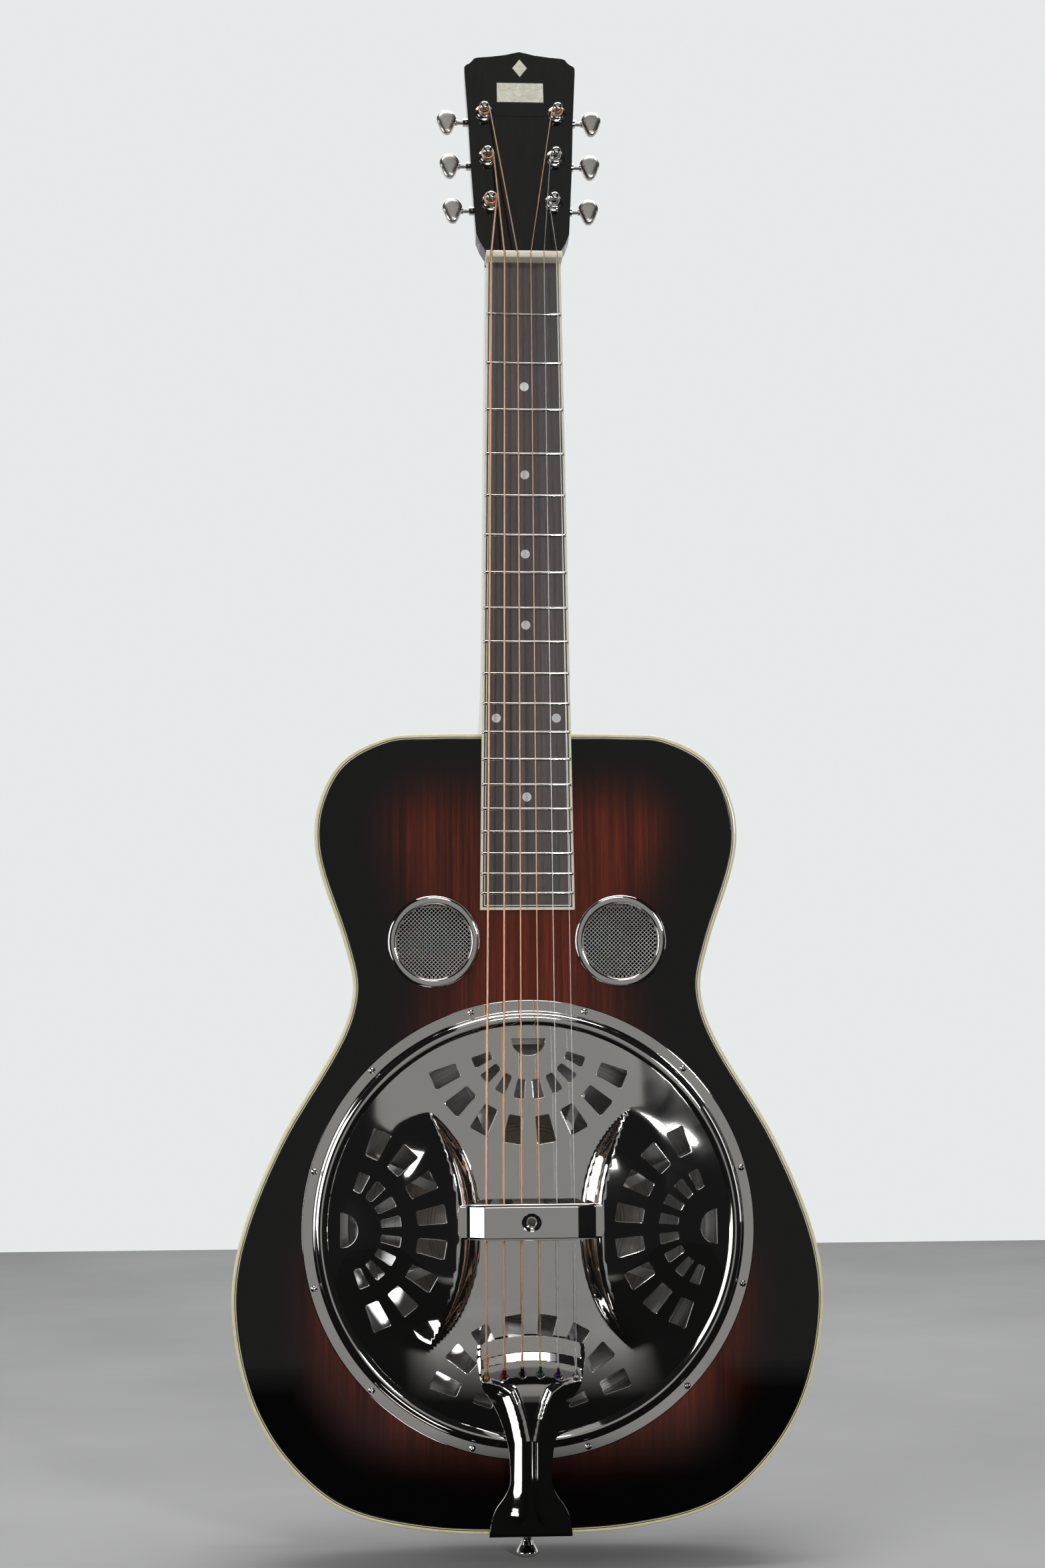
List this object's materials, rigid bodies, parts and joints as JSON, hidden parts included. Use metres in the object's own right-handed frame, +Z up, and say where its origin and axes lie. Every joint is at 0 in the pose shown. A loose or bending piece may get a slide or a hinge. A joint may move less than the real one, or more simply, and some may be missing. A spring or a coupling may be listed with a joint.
{
  "type": "square-neck resonator guitar",
  "caption": "Square-neck resonator guitar: flat mahogany body, spider bridge and aluminium cone under a pressed cover plate, geared tuning machines.",
  "frame": {"origin": "on the flat outer face of the back, straight behind the middle of the cone", "axes": "+Z up the neck, +Y out of the back, so the strings face -Y; +X to the treble side"},
  "size_m": [0.3814, 0.125, 1.0175],
  "materials": {
    "mahogany_top": "gloss sunburst, red-brown middle shading to black edges",
    "mahogany_body": "gloss dark mahogany",
    "mahogany_neck": "gloss dark mahogany",
    "cream_binding": "polished cream",
    "light_wood": "raw",
    "spun_aluminium": "spun, with turned rings",
    "cast_aluminium": "cast",
    "maple_saddle": "raw maple",
    "chrome": "polished",
    "woven_wire": "woven wire cloth",
    "black_veneer": "gloss black",
    "pearl": "pearloid",
    "rosewood": "open-grained, oiled",
    "fret_wire": "nickel silver, polished",
    "pearl_dot": "pearl",
    "bone": "polished bone",
    "bronze_string": "phosphor bronze winding",
    "steel_string": "plain drawn steel",
    "string_ends": "coloured brass balls",
    "nickel_button": "nickel plated",
    "steel_shaft": "turned",
    "brass_gear": "cut brass"
  },
  "bodies": {
    "guitar": {"top": "mahogany_top", "back": "mahogany_body", "sides": "mahogany_body", "body_binding": "cream_binding", "linings": "light_wood", "neck_block": "light_wood", "tail_block": "light_wood", "back_braces": "light_wood", "soundwell": "light_wood", "cone": "spun_aluminium", "spider_bridge": "cast_aluminium", "saddles": "maple_saddle", "tension_screw": "chrome", "cover_plate": "chrome", "handrest": "chrome", "cover_screws": "chrome", "screen_rings": "chrome", "screen_meshes": "woven_wire", "neck": "mahogany_neck", "heel_cap": "black_veneer", "headstock_veneer": "black_veneer", "headstock_inlays": "pearl", "fingerboard": "rosewood", "fingerboard_binding": "cream_binding", "frets": "fret_wire", "position_markers": "pearl_dot", "nut": "bone", "wound_strings": "bronze_string", "plain_strings": "steel_string", "ball_ends": "string_ends", "tailpiece": "chrome", "end_pin": "chrome", "tuner_housings": "chrome", "tuner_bushings": "chrome", "tuner_washers": "chrome", "tuner_screws": "chrome"},
    "tuner_button_6": {"button_6": "nickel_button", "worm_6": "steel_shaft"},
    "tuner_post_6": {"post_6": "chrome", "gear_6": "brass_gear"},
    "tuner_button_5": {"button_5": "nickel_button", "worm_5": "steel_shaft"},
    "tuner_post_5": {"post_5": "chrome", "gear_5": "brass_gear"},
    "tuner_button_4": {"button_4": "nickel_button", "worm_4": "steel_shaft"},
    "tuner_post_4": {"post_4": "chrome", "gear_4": "brass_gear"},
    "tuner_button_1": {"button_1": "nickel_button", "worm_1": "steel_shaft"},
    "tuner_post_1": {"post_1": "chrome", "gear_1": "brass_gear"},
    "tuner_button_2": {"button_2": "nickel_button", "worm_2": "steel_shaft"},
    "tuner_post_2": {"post_2": "chrome", "gear_2": "brass_gear"},
    "tuner_button_3": {"button_3": "nickel_button", "worm_3": "steel_shaft"},
    "tuner_post_3": {"post_3": "chrome", "gear_3": "brass_gear"}
  },
  "joints": [
    {"name": "button_6_turn", "type": "hinge", "parent": "guitar", "child": "tuner_button_6", "pos_m": [-0.04665, -0.06491, 0.68607], "axis": [-1, 0, 0], "continuous": true},
    {"name": "post_6_turn", "type": "hinge", "parent": "guitar", "child": "tuner_post_6", "pos_m": [-0.02145, -0.08739, 0.6837], "axis": [0, -0.9781, 0.2079], "continuous": true},
    {"name": "button_5_turn", "type": "hinge", "parent": "guitar", "child": "tuner_button_5", "pos_m": [-0.04845, -0.05755, 0.7207], "axis": [-1, 0, 0], "continuous": true},
    {"name": "post_5_turn", "type": "hinge", "parent": "guitar", "child": "tuner_post_5", "pos_m": [-0.02325, -0.08003, 0.71832], "axis": [0, -0.9781, 0.2079], "continuous": true},
    {"name": "button_4_turn", "type": "hinge", "parent": "guitar", "child": "tuner_button_4", "pos_m": [-0.0503, -0.05023, 0.75513], "axis": [-1, 0, 0], "continuous": true},
    {"name": "post_4_turn", "type": "hinge", "parent": "guitar", "child": "tuner_post_4", "pos_m": [-0.0251, -0.07271, 0.75275], "axis": [0, -0.9781, 0.2079], "continuous": true},
    {"name": "button_1_turn", "type": "hinge", "parent": "guitar", "child": "tuner_button_1", "pos_m": [0.04665, -0.06491, 0.68607], "axis": [1, 0, 0], "continuous": true},
    {"name": "post_1_turn", "type": "hinge", "parent": "guitar", "child": "tuner_post_1", "pos_m": [0.02145, -0.08739, 0.6837], "axis": [0, -0.9781, 0.2079], "continuous": true},
    {"name": "button_2_turn", "type": "hinge", "parent": "guitar", "child": "tuner_button_2", "pos_m": [0.04845, -0.05755, 0.7207], "axis": [1, 0, 0], "continuous": true},
    {"name": "post_2_turn", "type": "hinge", "parent": "guitar", "child": "tuner_post_2", "pos_m": [0.02325, -0.08003, 0.71832], "axis": [0, -0.9781, 0.2079], "continuous": true},
    {"name": "button_3_turn", "type": "hinge", "parent": "guitar", "child": "tuner_button_3", "pos_m": [0.0503, -0.05023, 0.75513], "axis": [1, 0, 0], "continuous": true},
    {"name": "post_3_turn", "type": "hinge", "parent": "guitar", "child": "tuner_post_3", "pos_m": [0.0251, -0.07271, 0.75275], "axis": [0, -0.9781, 0.2079], "continuous": true}
  ],
  "couplings": [
    {"joint": "post_6_turn", "follows": "button_6_turn", "ratio": 0.071429},
    {"joint": "post_5_turn", "follows": "button_5_turn", "ratio": 0.071429},
    {"joint": "post_4_turn", "follows": "button_4_turn", "ratio": 0.071429},
    {"joint": "post_1_turn", "follows": "button_1_turn", "ratio": -0.071429},
    {"joint": "post_2_turn", "follows": "button_2_turn", "ratio": -0.071429},
    {"joint": "post_3_turn", "follows": "button_3_turn", "ratio": -0.071429}
  ]
}
